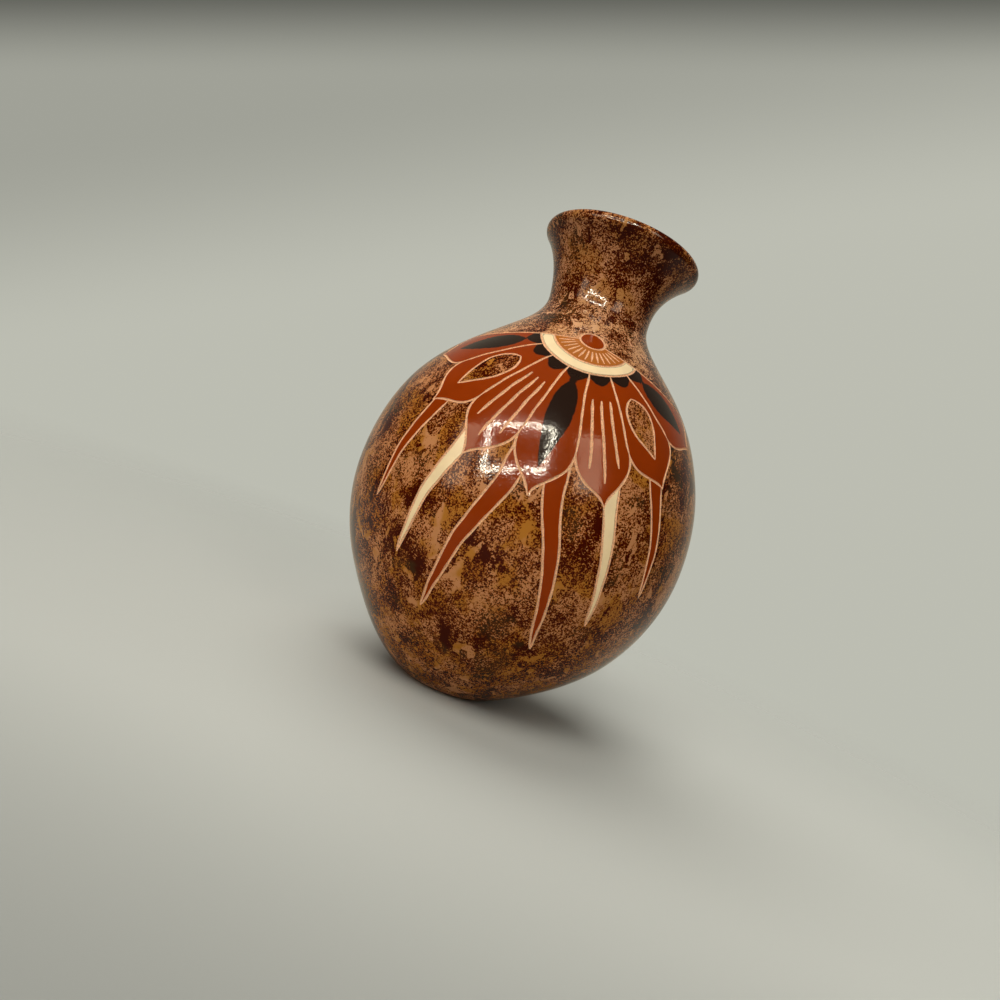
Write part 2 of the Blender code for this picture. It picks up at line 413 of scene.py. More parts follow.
def sponging_group(colours):
    """Slips dabbed on with a sponge: light grains over rust over a dark ground, in patches, with a painted
    sheen that pales the dabs round the root of the neck.
    """
    colour_inputs = [
        (label.title(), "NodeSocketColor", (*getattr(colours, label), 1.0))
        for label in ("maroon", "umber", "rust", "tan", "ochre")]
    group, given, result = new_group("sponged_slip", colour_inputs, [("Color", "NodeSocketColor")])
    place = object_place(group)
    drawn = node(group, "VectorMath", place, DRAWN_OUT, operation="MULTIPLY").outputs[0]

    coarse = calculate(group, "MULTIPLY", cloud(group, place, *COARSE_GRAIN), COARSE_SHARE)
    fine = calculate(group, "MULTIPLY", cloud(group, place, *FINE_GRAIN), FINE_SHARE)
    grain = calculate(group, "SUBTRACT", calculate(group, "ADD", coarse, fine), GRAIN_DROP)

    patches = calculate(group, "SUBTRACT", cloud(group, drawn, *PATCHES), 0.5)
    swing = calculate(group, "MULTIPLY", patches, PATCH_SWING)
    daubs = fade(group, cloud(group, drawn, *DAUBS), *DAUB_FADE)
    smears = fade(group, cloud(group, drawn, *SMEARS), *SMEAR_FADE)
    height = node(group, "SeparateXYZ", place).outputs["Z"]
    mouth = fade(group, height, *MOUTH_FADE)
    level = calculate(group, "ADD", calculate(group, "ADD", grain, swing), daubs)
    level = calculate(group, "SUBTRACT", level, calculate(group, "ADD", smears, mouth))

    smoky = fade(group, cloud(group, place, *SMOKE), *SMOKE_FADE)
    yellow = fade(group, cloud(group, place, *YELLOWING), *YELLOW_FADE)
    ground = mingle(group, smoky, given.outputs["Maroon"], given.outputs["Umber"])
    dabs = mingle(group, yellow, given.outputs["Tan"], given.outputs["Ochre"])
    # Painted sheen: round the root of the neck the dabs pale towards a whitish tan, as the lamp's glow would
    # light them
    painted_sheen = calculate(group, "SUBTRACT", fade(group, height, *PAINTED_SHEEN_FADE),
                      fade(group, height, *PAINTED_SHEEN_END_FADE))
    dabs = mingle(group, painted_sheen, dabs, PAINTED_SHEEN_DAB)
    middle = mingle(group, fade(group, level, *RUST_FADE), ground, given.outputs["Rust"])
    top = mingle(group, fade(group, level, *DAB_FADE), middle, dabs)

    group.links.new(top, result.inputs["Color"])
    return group


def burnish_group():
    """A surface rubbed with a smooth stone: its gloss, its fine tooth and its slow unevenness."""
    group, _, result = new_group(
        "burnish", [], [("Roughness", "NodeSocketFloat"), ("Height", "NodeSocketFloat")])
    place = object_place(group)
    worn = fade(group, cloud(group, place, *WORN), *WORN_FADE)
    specks = fade(group, cloud(group, place, *SPECKS), *SPECK_FADE)
    group.links.new(calculate(group, "ADD", specks, worn), result.inputs["Roughness"])

    tooth = calculate(group, "MULTIPLY", cloud(group, place, *TOOTH), TOOTH_HEIGHT)
    facets = calculate(group, "MULTIPLY", cloud(group, place, *FACETS), FACET_HEIGHT)
    group.links.new(calculate(group, "ADD", tooth, facets), result.inputs["Height"])
    return group


def slip_material(name, groups, colours, painted, worn_below=None):
    """The burnished outside: sponged slip, with the motif's slips laid over it where it is painted."""
    made, tree, shader = new_material(name)
    sponging, burnish = groups
    place = object_place(tree)
    colour = place_group(tree, sponging).outputs["Color"]

    if painted:
        unevenness = calculate(tree, "SUBTRACT", cloud(tree, place, *BRUSH), 0.5)
        brush = calculate(tree, "MULTIPLY", unevenness, BRUSH_STRAY)
        thickness = fade(tree, cloud(tree, place, *THINNING), *THINNING_FADE)
        for label, softness in SLIP_EDGES:
            distance = node(tree, "Attribute", attribute_name=label).outputs["Fac"]
            inside = fade(tree, calculate(tree, "ADD", distance, brush), -softness, softness)
            slip = tuple(getattr(colours, label))
            uneven = mingle(tree, thickness, [THIN_SLIP * channel for channel in slip], slip)
            colour = mingle(tree, inside, colour, uneven)

        arch = node(tree, "Attribute", attribute_name="arch").outputs["Fac"]
        aside = calculate(tree, "ABSOLUTE", calculate(tree, "SUBTRACT", arch, DARK_LINE_INSET))
        colour = mingle(tree, fade(tree, aside, *DARK_LINE_FADE), colour, DARK_LINE_COLOUR)

    if worn_below:
        height = node(tree, "SeparateXYZ", place).outputs["Z"]
        ragged = calculate(tree, "MULTIPLY", cloud(tree, place, *RAGGED), worn_below)
        bared = fade(tree, calculate(tree, "SUBTRACT", height, ragged), *RAGGED_FADE)
        colour = mingle(tree, bared, colour, tuple(colours.bare))

    finish = place_group(tree, burnish)
    shader.inputs["Specular IOR Level"].default_value = SLIP_SPECULAR
    tree.links.new(colour, shader.inputs["Base Color"])
    tree.links.new(finish.outputs["Roughness"], shader.inputs["Roughness"])
    raise_surface(tree, shader, finish.outputs["Height"])
    return made


def clay_material(name, colour, speck_scale, depth, roughness):
    """Bare clay, with sandy specks and a rough bump."""
    made, tree, shader = new_material(name)
    place = object_place(tree)
    specks = cloud(tree, place, speck_scale, *CLAY_GRAIN)
    dark = [channel * CLAY_DARK for channel in colour]
    light = [min(1.0, channel * CLAY_LIGHT) for channel in colour]
    tree.links.new(mingle(tree, fade(tree, specks, *CLAY_FADE), dark, light), shader.inputs["Base Color"])
    shader.inputs["Roughness"].default_value = roughness
    raise_surface(tree, shader, calculate(tree, "MULTIPLY", specks, depth))
    return made


# The outline of the wall

def bezier(corners, t):
    """The point of a cubic curve at t, which goes from 0 at its start to 1 at its end."""
    start, start_handle, end_handle, end = corners
    s = 1.0 - t
    return s**3 * start + 3 * s * s * t * start_handle + 3 * s * t * t * end_handle + t**3 * end


def outline_knots(sizes):
    """Knots of the outer face, foot to lip, as (radius, height), each between its two handles."""
    bead = sizes.wall / 2.0
    lip = Vector((sizes.rim_radius - bead, sizes.total_height - bead)) + bead * LIP_OUT
    foot = Vector((sizes.foot_radius, 0.0))
    rise = Vector((math.cos(FOOT_ANGLE), math.sin(FOOT_ANGLE)))
    belly = Vector((sizes.belly_radius, sizes.belly_level))
    neck = Vector((sizes.neck_radius, sizes.neck_level))
    up = Vector((0.0, 1.0))
    return (
        (foot - FOOT_HANDLE * rise, foot, foot + FOOT_HANDLE * rise),
        (belly - LOWER_BELLY_HANDLE * up, belly, belly + UPPER_BELLY_HANDLE * up),
        (neck - NECK_ROOT_HANDLE * up, neck, neck + NECK_HANDLE * up),
        (lip - FLARE_HANDLE * LIP_LEAN, lip, lip + bead * LIP_LEAN),
    )


def turn_outline(sizes):
    """The outline drawn as a curve and spun into an open skin, with its outside facing out."""
    bpy.ops.object.select_all(action="DESELECT")
    bpy.ops.curve.primitive_bezier_curve_add()
    pot = bpy.context.object
    pot.name = "turned_pot"
    knots = outline_knots(sizes)
    spline = pot.data.splines[0]
    spline.bezier_points.add(len(knots) - len(spline.bezier_points))
    for point, (before, here, after) in zip(spline.bezier_points, knots):
        point.handle_left_type = point.handle_right_type = "FREE"
        point.handle_left = (before.x, 0.0, before.y)
        point.co = (here.x, 0.0, here.y)
        point.handle_right = (after.x, 0.0, after.y)
    pot.data.resolution_u = OUTLINE_STEPS
    spline.resolution_u = OUTLINE_STEPS
    bpy.ops.object.convert(target="MESH")

    bead = sizes.wall / 2.0
    top = max(vertex.co.z for vertex in pot.data.vertices)
    edit_those(pot, "VERT", lambda vertex: vertex.co.z > top - MERGE_DISTANCE)
    bpy.ops.mesh.extrude_region_move(TRANSFORM_OT_translate={
        "value": (bead * math.sin(FLARE_ANGLE), 0.0, bead * math.cos(FLARE_ANGLE))})
    switch("OBJECT")
    edit_those(pot, "VERT", lambda vertex: vertex.co.z < MERGE_DISTANCE)
    bpy.ops.mesh.extrude_region_move(TRANSFORM_OT_translate={"value": (-sizes.foot_radius, 0.0, 0.0)})
    bpy.ops.mesh.select_all(action="SELECT")
    bpy.ops.mesh.spin(steps=TURN_STEPS, angle=math.tau, center=(0.0, 0.0, 0.0), axis=(0.0, 0.0, 1.0))
    weld()
    switch("OBJECT")
    widest = max(pot.data.polygons, key=lambda face: face.center.x)
    if widest.normal.x < 0.0:
        switch("EDIT")
        bpy.ops.mesh.flip_normals()
        switch("OBJECT")
    return pot


def wall_up(pot, sizes, materials):
    """Gives the skin its wall, a round lip and a flat floor inside."""
    for material in materials:
        pot.data.materials.append(material)
    apply_modifier(pot, "SOLIDIFY", thickness=sizes.wall, offset=-1.0, use_even_offset=True,
                   use_rim=True, material_offset=INSIDE, material_offset_rim=OUTSIDE)

    reaches = [Vector((vertex.co.xy.length, vertex.co.z)).dot(LIP_LEAN) for vertex in pot.data.vertices]
    least = max(reaches) - LIP_TOLERANCE
    level = {index for index, reach in enumerate(reaches) if reach > least}

    def on_lip(edge):
        low, high = (pot.data.vertices[index].co for index in edge.vertices)
        ringwise = abs(Vector((low.xy.length - high.xy.length, low.z - high.z)).dot(LIP_OUT)) < MERGE_DISTANCE
        return ringwise and set(edge.vertices) <= level

    edit_those(pot, "EDGE", on_lip)
    bpy.ops.mesh.bevel(
        offset=sizes.wall * LIP_BEVEL, offset_type="OFFSET", segments=LIP_SEGMENTS, affect="EDGES")
    switch("OBJECT")

    inner = {index for face in pot.data.polygons if face.material_index == INSIDE for index in face.vertices}
    edit_those(pot, "VERT", lambda vertex: vertex.index in inner and vertex.co.z < sizes.floor_level)
    bpy.ops.transform.resize(value=(1.0, 1.0, 0.0), center_override=(0.0, 0.0, sizes.floor_level))
    bpy.ops.mesh.select_all(action="SELECT")
    bpy.ops.mesh.remove_doubles(threshold=MERGE_DISTANCE)
    switch("OBJECT")


class Wrap:
    """Carries the flat drawing to the pot and back: across is measured round the pot from its front,
    and up along the wall from the widest girth."""

    def __init__(self, sizes):
        knots = outline_knots(sizes)
        radii, levels = [], []
        for (_, start, start_handle), (end_handle, end, _) in zip(knots, knots[1:]):
            for step in range(WRAP_STEPS):
                point = bezier((start, start_handle, end_handle, end), step / WRAP_STEPS)
                radii.append(point.x)
                levels.append(point.y)
        self.radii, self.levels = np.array(radii), np.array(levels)
        steps = np.hypot(np.diff(self.radii), np.diff(self.levels))
        travelled = np.concatenate([[0.0], np.cumsum(steps)])
        self.ups = travelled - np.interp(sizes.belly_level, self.levels, travelled)

    def onto_pot(self, flat, lift):
        """Points of the pot, moved out from the wall by lift, for flat points."""
        across, up = flat[:, 0], flat[:, 1]
        radius = np.interp(up, self.ups, self.radii)
        level = np.interp(up, self.ups, self.levels)
        run = np.gradient(self.radii, self.ups)
        rise = np.gradient(self.levels, self.ups)
        out_radius = np.interp(up, self.ups, rise)
        out_level = -np.interp(up, self.ups, run)
        angle = across / radius
        radius = radius + lift * out_radius
        return np.stack([radius * np.sin(angle), -radius * np.cos(angle), level + lift * out_level], axis=1)

    def onto_flat(self, points):
        """Flat points for points of the pot's outer face."""
        radius = np.hypot(points[:, 0], points[:, 1])
        up = np.interp(points[:, 2], self.levels, self.ups)
        angle = np.arctan2(points[:, 0], -points[:, 1])
        return np.stack([angle * radius, up], axis=1)


# The drawing: every line and shape as flat points

def even_points(points):
    """A line through the same points, with its points evenly spaced."""
    points = np.array(points, float)
    travelled = np.concatenate([[0.0], np.cumsum(np.hypot(*np.diff(points, axis=0).T))])
    count = max(2, round(travelled[-1] / STROKE_STEP) + 1)
    stations = np.linspace(0.0, travelled[-1], count)
    return np.stack([np.interp(stations, travelled, points[:, axis]) for axis in (0, 1)], axis=1)


def smooth_line(points):
    """A smooth curve through given points."""
    points = [Vector(point) for point in points]
    ends = [2 * points[0] - points[1], *points, 2 * points[-1] - points[-2]]
    line = []
    for before, here, there, after in zip(ends, ends[1:], ends[2:], ends[3:]):
        for step in range(SMOOTH_STEPS):
            t = step / SMOOTH_STEPS
            line.append(0.5 * (2 * here + (there - before) * t
                               + (2 * before - 5 * here + 4 * there - after) * t * t
                               + (3 * here - 3 * there + after - before) * t**3))
    line.append(points[-1])
    return [tuple(point) for point in line]


def strayed(points):
    """Flat points moved a little, as a hand strays from its drawing. Neighbouring lines stray together."""
    points = np.array(points, float)
    moved = points.copy()
    for count, length in enumerate(STRAY_LENGTHS):
        turn = math.tau / length
        stray = STRAY_SHARE * length
        moved[:, 0] += stray * np.sin(points[:, 1] * turn + points[:, 0] * turn * ACROSS_SLANT + count)
        moved[:, 1] += stray * np.sin(points[:, 0] * turn - points[:, 1] * turn * UP_SLANT + 2.0 * count)
    return moved


def polar(carving, radius, angle):
    """A flat point by its distance from the fan's pivot and its angle from straight down."""
    return (radius * math.sin(angle), carving.pivot - radius * math.cos(angle))


def arc(carving, radius, start, end):
    return [polar(carving, radius, start + (end - start) * step / ARC_STEPS) for step in range(ARC_STEPS + 1)]


def petal_edge(carving, notch, middle, tip_radius):
    """One side of a petal's free end, from the notch beside it to its tip."""
    root, reach = carving.notch_radius, tip_radius - carving.notch_radius
    radii = (root, *(root + share * reach for share in PETAL_OUT), tip_radius)
    angles = (notch, notch, notch + PETAL_ROUND * (middle - notch), middle)
    return [polar(carving, bezier(radii, step / PETAL_STEPS), bezier(angles, step / PETAL_STEPS))
            for step in range(PETAL_STEPS + 1)]


def leaf(carving, middle, start, end, half_width):
    """The two sides of a pointed leaf along a petal, each from near the pivot to its outer point."""
    sides = []
    for side in (-1.0, 1.0):
        line = []
        for step in range(LEAF_STEPS + 1):
            t = step / LEAF_STEPS
            radius = start + (end - start) * t
            width = half_width * math.sin(math.pi * t ** LEAF_FULLNESS)
            line.append(polar(carving, radius, middle + side * width / radius))
        sides.append(line)
    return sides


def ribbon(start, length, drift, sway, width):
    """The two sides of a hanging ribbon that sways as it narrows, each from its top to its point."""
    share = np.linspace(0.0, 1.0, round(length / STROKE_STEP))
    swaying = sway * np.sin(math.tau * share**SWAY_PACE) * (1.0 - SWAY_LOSS * share)
    across = start[0] + drift * share**2 + swaying
    line = np.stack([across, start[1] - length * share], axis=1)
    run = np.gradient(line, axis=0)
    square = np.stack([-run[:, 1], run[:, 0]], axis=1) / np.hypot(*run.T)[:, None]
    widening = np.minimum(1.0, RIBBON_ROOT + RIBBON_GAIN * share)
    half = 0.5 * width * (widening * (1.0 - share) ** RIBBON_TAPER)[:, None]
    return line + half * square, line - half * square


def signed_distance(points, outline):
    """How far points are inside a closed outline: below 0 outside it, and never past the reach."""
    distance = np.full(len(points), -REACH)
    near = np.all((points > outline.min(0) - REACH) & (points < outline.max(0) + REACH), axis=1)
    here = points[near]
    if not len(here):
        return distance
    best = np.full(len(here), REACH * REACH)
    inside = np.zeros(len(here), bool)
    for start, end in zip(outline, np.roll(outline, -1, axis=0)):
        side = end - start
        share = np.clip((here - start) @ side / max(side @ side, SMALLEST), 0.0, 1.0)[:, None]
        best = np.minimum(best, np.sum((here - start - share * side) ** 2, axis=1))
        if start[1] != end[1]:
            spans = (start[1] > here[:, 1]) != (end[1] > here[:, 1])
            crossing = start[0] + (here[:, 1] - start[1]) * side[0] / side[1]
            inside ^= spans & (here[:, 0] < crossing)
    distance[near] = np.where(inside, 1.0, -1.0) * np.sqrt(best)
    return distance


class Drawing:
    """The motif on the flat: a hanging fan of petals under a ribbed shell, with ribbons between them."""

    def __init__(self, carving):
        self.strokes = []           # carved lines: points, share of the full gouge, and whether closed
        self.shapes = {"fan": [], "brick": [], "cream": [], "orange": [], "black": [], "reserve": []}
        self.draw_fan(carving)
        self.draw_shell(carving)
        self.draw_petals(carving)
        self.draw_ribbons()

    def carve(self, points, weight=OUTLINE_WEIGHT, closed=False):
        line = even_points(list(points) + [points[0]] if closed else points)
        self.strokes.append((strayed(line[:-1] if closed else line), weight, closed))

    def fill(self, slip, points):
        self.shapes[slip].append(strayed(even_points(list(points) + [points[0]])[:-1]))

    def carve_spoke(self, carving, start, end, angle, weight=OUTLINE_WEIGHT):
        self.carve([polar(carving, radius, angle) for radius in (start, end)], weight)

    def notches(self, carving):
        return [carving.spread * (2.0 * index / carving.petals - 1.0) for index in range(carving.petals + 1)]

    def tip_radius(self, carving, middle):
        return carving.tip_radius - SIDE_SHORTENING * (middle / carving.spread) ** 2

    def draw_fan(self, carving):
        """The scalloped edge of the fan, which closes along the arch."""
        notches = self.notches(carving)
        edge = [polar(carving, carving.shell_radius, notches[0])]
        for left, right in zip(notches, notches[1:]):
            middle = (left + right) / 2.0
            radius = self.tip_radius(carving, middle)
            there, back = (petal_edge(carving, notch, middle, radius) for notch in (left, right))
            self.carve(there)
            self.carve(back)
            edge += there + back[::-1][1:]
        edge.append(polar(carving, carving.shell_radius, notches[-1]))
        self.fill("fan", edge + arc(carving, carving.shell_radius, notches[-1], notches[0])[1:-1])
        for notch in notches:
            self.carve_spoke(carving, carving.arch_radius, carving.notch_radius, notch)

    def draw_shell(self, carving):
        """The boss, the ribbed shell round it and the pale arch round that."""
        spread = carving.spread
        boss, shell, arch = carving.boss_radius, carving.shell_radius, carving.arch_radius
        circle = arc(carving, boss, -math.pi, math.pi)[:-1]
        self.carve(circle, closed=True)
        self.fill("brick", circle)
        for side in (-spread, spread):
            self.carve_spoke(carving, boss, arch, side)
        for radius in (shell, arch):
            self.carve(arc(carving, radius, -spread, spread))
        for slip, outer, inner in (("orange", shell, boss), ("cream", arch, shell)):
            self.fill(slip, arc(carving, outer, -spread, spread) + arc(carving, inner, spread, -spread))
        ribs = 2 * carving.petals
        for index in range(1, ribs):
            angle = spread * (2.0 * index / ribs - 1.0)
            self.carve_spoke(carving, boss + RIB_GAPS[0], shell - RIB_GAPS[1], angle)

    def draw_petals(self, carving):
        """What fills each petal: flames, ribs and reserves by turns, under a black band."""
        notches = self.notches(carving)
        start = carving.arch_radius
        band = arc(carving, start, -carving.spread, carving.spread)
        for left, right in reversed(list(zip(notches, notches[1:]))):
            band += smooth_line([polar(carving, start + depth, right + (left - right) * share)
                                 for share, depth in BAND_SCALLOP])
        self.fill("black", band)
        middle_petal = carving.petals // 2
        for index, (left, right) in enumerate(zip(notches, notches[1:])):
            middle = (left + right) / 2.0
            kind = abs(index - middle_petal) % 3
            tip = self.tip_radius(carving, middle)
            if kind == 0:
                sides = leaf(carving, middle, start + FLAME[0], tip - FLAME[1], FLAME[2])
                self.fill("black", sides[0] + sides[1][::-1][1:-1])
            elif kind == 1:
                for share in RIB_SHARES:
                    angle = middle + share * (right - middle)
                    end = tip - RIB_END - OUTER_RIB_SHORTENING * abs(share)
                    self.carve_spoke(carving, start + RIB_START, end, angle, RIB_WEIGHT)
            else:
                sides = leaf(carving, middle, start + RESERVE[0], tip - RESERVE[1], RESERVE[2])
                for side in sides:
                    self.carve(side)
                self.fill("reserve", sides[0] + sides[1][::-1][1:-1])

    def draw_ribbons(self):
        """Ribbons that hang from the notches, carved only where the fan doesn't cover them."""
        fan = self.shapes["fan"][0]
        for slip, (across, up), length, drift, sway, width in RIBBONS:
            for side in (-1.0, 1.0):
                edges = [strayed(edge) for edge in
                         ribbon((side * across, up), length, side * drift, side * sway, width)]
                self.shapes[slip].append(np.concatenate([edges[0], edges[1][::-1]]))
                for edge in edges:
                    hidden = np.nonzero(signed_distance(edge, fan) > 0.0)[0]
                    self.strokes.append((edge[hidden[-1]:], OUTLINE_WEIGHT, False))

    def cover(self, flat):
        """How far flat points lie inside each slip, its covered parts taken off, and inside the arch."""
        depth = {
            slip: np.max([signed_distance(flat, outline) for outline in outlines], axis=0)
            for slip, outlines in self.shapes.items()}
        fan_slip = np.minimum(depth["fan"], -depth["reserve"])
        arch = signed_distance(flat, self.shapes["cream"][0])
        return {
            "brick": np.maximum(fan_slip, depth["brick"]),
            "cream": np.maximum(arch, np.minimum(depth["cream"], -depth["fan"])),
            "orange": depth["orange"],
            "black": depth["black"],
            "arch": arch,
        }


def groups_apart(strokes, clearance):
    """Sorts the carved lines into groups in which no two lines touch, so each group is a clean cutter."""
    groups = []
    for stroke in strokes:
        for group in groups:
            apart = [stroke[0][:, None] - other[0][None] for other in group]
            if min(np.min(np.hypot(gap[..., 0], gap[..., 1])) for gap in apart) > clearance:
                group.append(stroke)
                break
        else:
            groups.append([stroke])
    return groups


def gouge_bars(strokes, wrap, carving, material):
    """Carved lines as round bars that lie half in the wall, a little heavier and lighter along the way."""
    bpy.ops.object.select_all(action="DESELECT")
    bpy.ops.curve.primitive_nurbs_path_add()
    gouge = bpy.context.object
    gouge.name = "gouge"
    curve = gouge.data
    curve.splines.clear()
    curve.bevel_depth = carving.gouge_radius
    curve.bevel_resolution = STROKE_SIDES
    curve.use_fill_caps = True
    for order, (points, weight, closed) in enumerate(strokes):
        placed = wrap.onto_pot(points, carving.gouge_lift * weight)
        spline = curve.splines.new("POLY")
        spline.points.add(len(placed) - 1)
        spline.use_cyclic_u = closed
        for index, (point, place) in enumerate(zip(spline.points, placed)):
            point.co = (*place, 1.0)
            to_end = len(placed) if closed else min(index, len(placed) - 1 - index)
            slow = SLOW_SWING * math.sin(SLOW_PACE * index + order)
            quick = QUICK_SWING * math.sin(QUICK_PACE * index)
            point.radius = weight * (1.0 + slow + quick) * min(1.0, END_WEIGHT + END_GAIN * to_end)
    bpy.ops.object.convert(target="MESH")
    gouge.data.materials.append(material)
    switch("EDIT")
    weld()
    switch("OBJECT")
    return gouge


def paint_motif(pot, drawing, wrap):
    """Stores how far each point of the pot lies inside each slip of the motif."""
    points = np.empty(len(pot.data.vertices) * 3)
    pot.data.vertices.foreach_get("co", points)
    covers = drawing.cover(wrap.onto_flat(points.reshape(-1, 3)))
    for slip, depth in covers.items():
        attribute = pot.data.attributes.new(slip, "FLOAT", "POINT")
        attribute.data.foreach_set("value", depth.astype(np.float32))


# Parting the pot

def lean_pot(pot):
    """Takes the pot a little out of true, as building by hand does."""
    for level, aside, reach in LEANS:
        edit_those(pot, "VERT", lambda vertex: abs(vertex.co.z - level) < LEAN_RING)
        bpy.ops.transform.translate(
            value=(aside, 0.0, 0.0), use_proportional_edit=True, proportional_edit_falloff="SMOOTH",
            proportional_size=reach, use_proportional_connected=False, use_proportional_projected=False)
        switch("OBJECT")


def seam_levels():
    """Heights of the seams between the packed sections, bottom to top."""
    nodes = [node_name for node_name, _, _ in SECTIONS]
    return [(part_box(low)[1].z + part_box(high)[0].z) / 2.0 for low, high in zip(nodes, nodes[1:])]


def cut_seams(pot):
    """Lays a ring of edges in the wall at each seam."""
    for level in seam_levels():
        only(pot)
        switch("EDIT")
        bpy.ops.mesh.select_all(action="SELECT")
        bpy.ops.mesh.bisect(plane_co=(0.0, 0.0, level), plane_no=(0.0, 0.0, 1.0), threshold=CUT_TOLERANCE)
        switch("OBJECT")


def select_open_edges(piece):
    clear_selection(piece, "EDGE")
    switch("EDIT")
    bpy.ops.mesh.select_non_manifold()


def part_section(pot, name, low, high):
    """One section of the pot, shaded as in the whole pot and closed across the wall at its seams."""
    only(pot)
    bpy.ops.object.duplicate()
    section = bpy.context.object
    section.name = section.data.name = name
    edit_those(section, "FACE", lambda face: not low < face.center.z < high)
    bpy.ops.mesh.delete(type="FACE")
    switch("OBJECT")
    select_open_edges(section)
    bpy.ops.mesh.mark_sharp()
    switch("OBJECT")
    apply_modifier(section, "DATA_TRANSFER", object=pot, use_loop_data=True,
                   data_types_loops={"CUSTOM_NORMAL"}, loop_mapping="NEAREST_POLYNOR")
    for level in (low, high):
        select_open_edges(section)
        switch("OBJECT")
        points = section.data.vertices
        pick(section.data.edges, lambda edge: edge.select and all(
            abs(points[index].co.z - level) < MERGE_DISTANCE for index in edge.vertices))
        if any(edge.select for edge in section.data.edges):
            switch("EDIT")
            bpy.ops.mesh.bridge_edge_loops()
            switch("OBJECT")
    return section


# Steps

def settings(context):
    scene = context.scene
    return scene.vase_sizes, scene.vase_carving, scene.vase_colours, scene.vase_stage


class VASE_OT_turn_pot(bpy.types.Operator):
    """Turn the pot's wall, from the foot to the lip, in one piece"""

    bl_idname = "vase.turn_pot"
    bl_label = "Turn the pot"

    def execute(self, context):
        sizes, _, colours, _ = settings(context)
        groups = (sponging_group(colours), burnish_group())
        outside = slip_material("sponged_belly_slip", groups, colours, painted=True)
        slip_material("sponged_neck_slip", groups, colours, painted=False)
        slip_material("sponged_foot_slip", groups, colours, painted=False, worn_below=WORN_BELOW)
        inside = clay_material("bare_clay_inside", tuple(colours.bare), *INSIDE_CLAY)
        carved = clay_material("carved_clay", tuple(colours.carved), *CARVED_CLAY)
        clay_material("worn_base_clay", tuple(colours.bare), *BASE_CLAY)
        pot = turn_outline(sizes)
        wall_up(pot, sizes, (outside, inside, carved))
        return {"FINISHED"}


class VASE_OT_carve_motif(bpy.types.Operator):
    """Carve the fan and its ribbons into the turned pot and paint them"""

    bl_idname = "vase.carve_motif"
    bl_label = "Carve and paint the motif"

    def execute(self, context):
        sizes, carving, _, _ = settings(context)
        pot = bpy.data.objects["turned_pot"]
        drawing, wrap = Drawing(carving), Wrap(sizes)
        for strokes in groups_apart(drawing.strokes, CLEARANCE * carving.gouge_radius):
            gouge = gouge_bars(strokes, wrap, carving, bpy.data.materials["carved_clay"])
            apply_modifier(pot, "BOOLEAN", object=gouge, operation="DIFFERENCE", solver="MANIFOLD",
                           material_mode="TRANSFER")
            bpy.data.objects.remove(gouge)
        paint_motif(pot, drawing, wrap)
        return {"FINISHED"}


class VASE_OT_part_pot(bpy.types.Operator):
    """Part the pot into its foot, bowl, shoulder, neck and rim"""

    bl_idname = "vase.part_pot"
    bl_label = "Part the pot"

    def execute(self, context):
        pot = bpy.data.objects["turned_pot"]
        lean_pot(pot)
        cut_seams(pot)
        only(pot)
        bpy.ops.object.shade_smooth_by_angle(angle=SMOOTH_ANGLE)
        levels = [BELOW, *seam_levels(), ABOVE]
        for (node_name, name, slot), low, high in zip(SECTIONS, levels, levels[1:]):
            piece = part_section(pot, name, low, high)
            if node_name == "foot":
                piece.data.materials[OUTSIDE] = bpy.data.materials["sponged_foot_slip"]
                piece.data.materials.append(bpy.data.materials["worn_base_clay"])
                underside = len(piece.data.materials) - 1
                for face in piece.data.polygons:
                    if face.center.z < MERGE_DISTANCE and face.normal.z < 0.0:
                        face.material_index = underside
            elif slot == "neck_slip":
                piece.data.materials[OUTSIDE] = bpy.data.materials["sponged_neck_slip"]
            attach(piece, "root")
            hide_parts(node_name)
        bpy.data.objects.remove(pot)
        return {"FINISHED"}


# Stage

FLOOR_RADIUS, FLOOR_SIDES = 1.6, 96
FLOOR_FADE = (0.12, 0.60, 1.0, 0.0)             # away from the pot the floor gives way to the backdrop
FLOOR_SHADE_ACROSS = (-0.35, 0.35, 0.8, 1.0)     # painted shade, a little darker to the left
FLOOR_SHADE_AHEAD = (-0.26, -0.11, 0.48, 1.0)    # and painted shade, darker in front of the pot
FLOOR_ROUGHNESS, FLOOR_SPECULAR = 0.7, 0.15

# What the gloss shows: the floor in front of the pot dimmed by a painted shadow, a dark room there, and the
# stage's room behind
FLOOR_SHADOW_IN_GLOSS = (0.105, 0.082, 0.048)
NEAR_FLOOR_FADE = (-0.07, 0.03)
DARK_ROOM = (0.006, 0.006, 0.006)
ROOM_FADE = (0.10, 1.00)

CAMERA_PLACE = (0.0, -0.3043, 0.0765)
CAMERA_AIM = (-0.0321, 0.9994, 0.0099)
CAMERA_ROLL = 21.58         # degrees that the pot leans in the picture
CAMERA_LENS = 26.0
CAMERA_SENSOR = 36.0
CAMERA_NEAREST = 0.01

# The backdrop's shading, by how far a line of sight climbs for each step ahead
BACKDROP_TILT = 8.0         # degrees that the lower shade leans to the left
LOWER_SHADE, LOWER_SHARE = (0.30, 0.58), 0.70       # the share is what it leaves of the backdrop's colour
UPPER_SHADE = (0.585, 0.74)
AHEAD_FADE = (0.3, 0.7)
AMBIENT_TINT = (1.0, 1.0, 0.97)

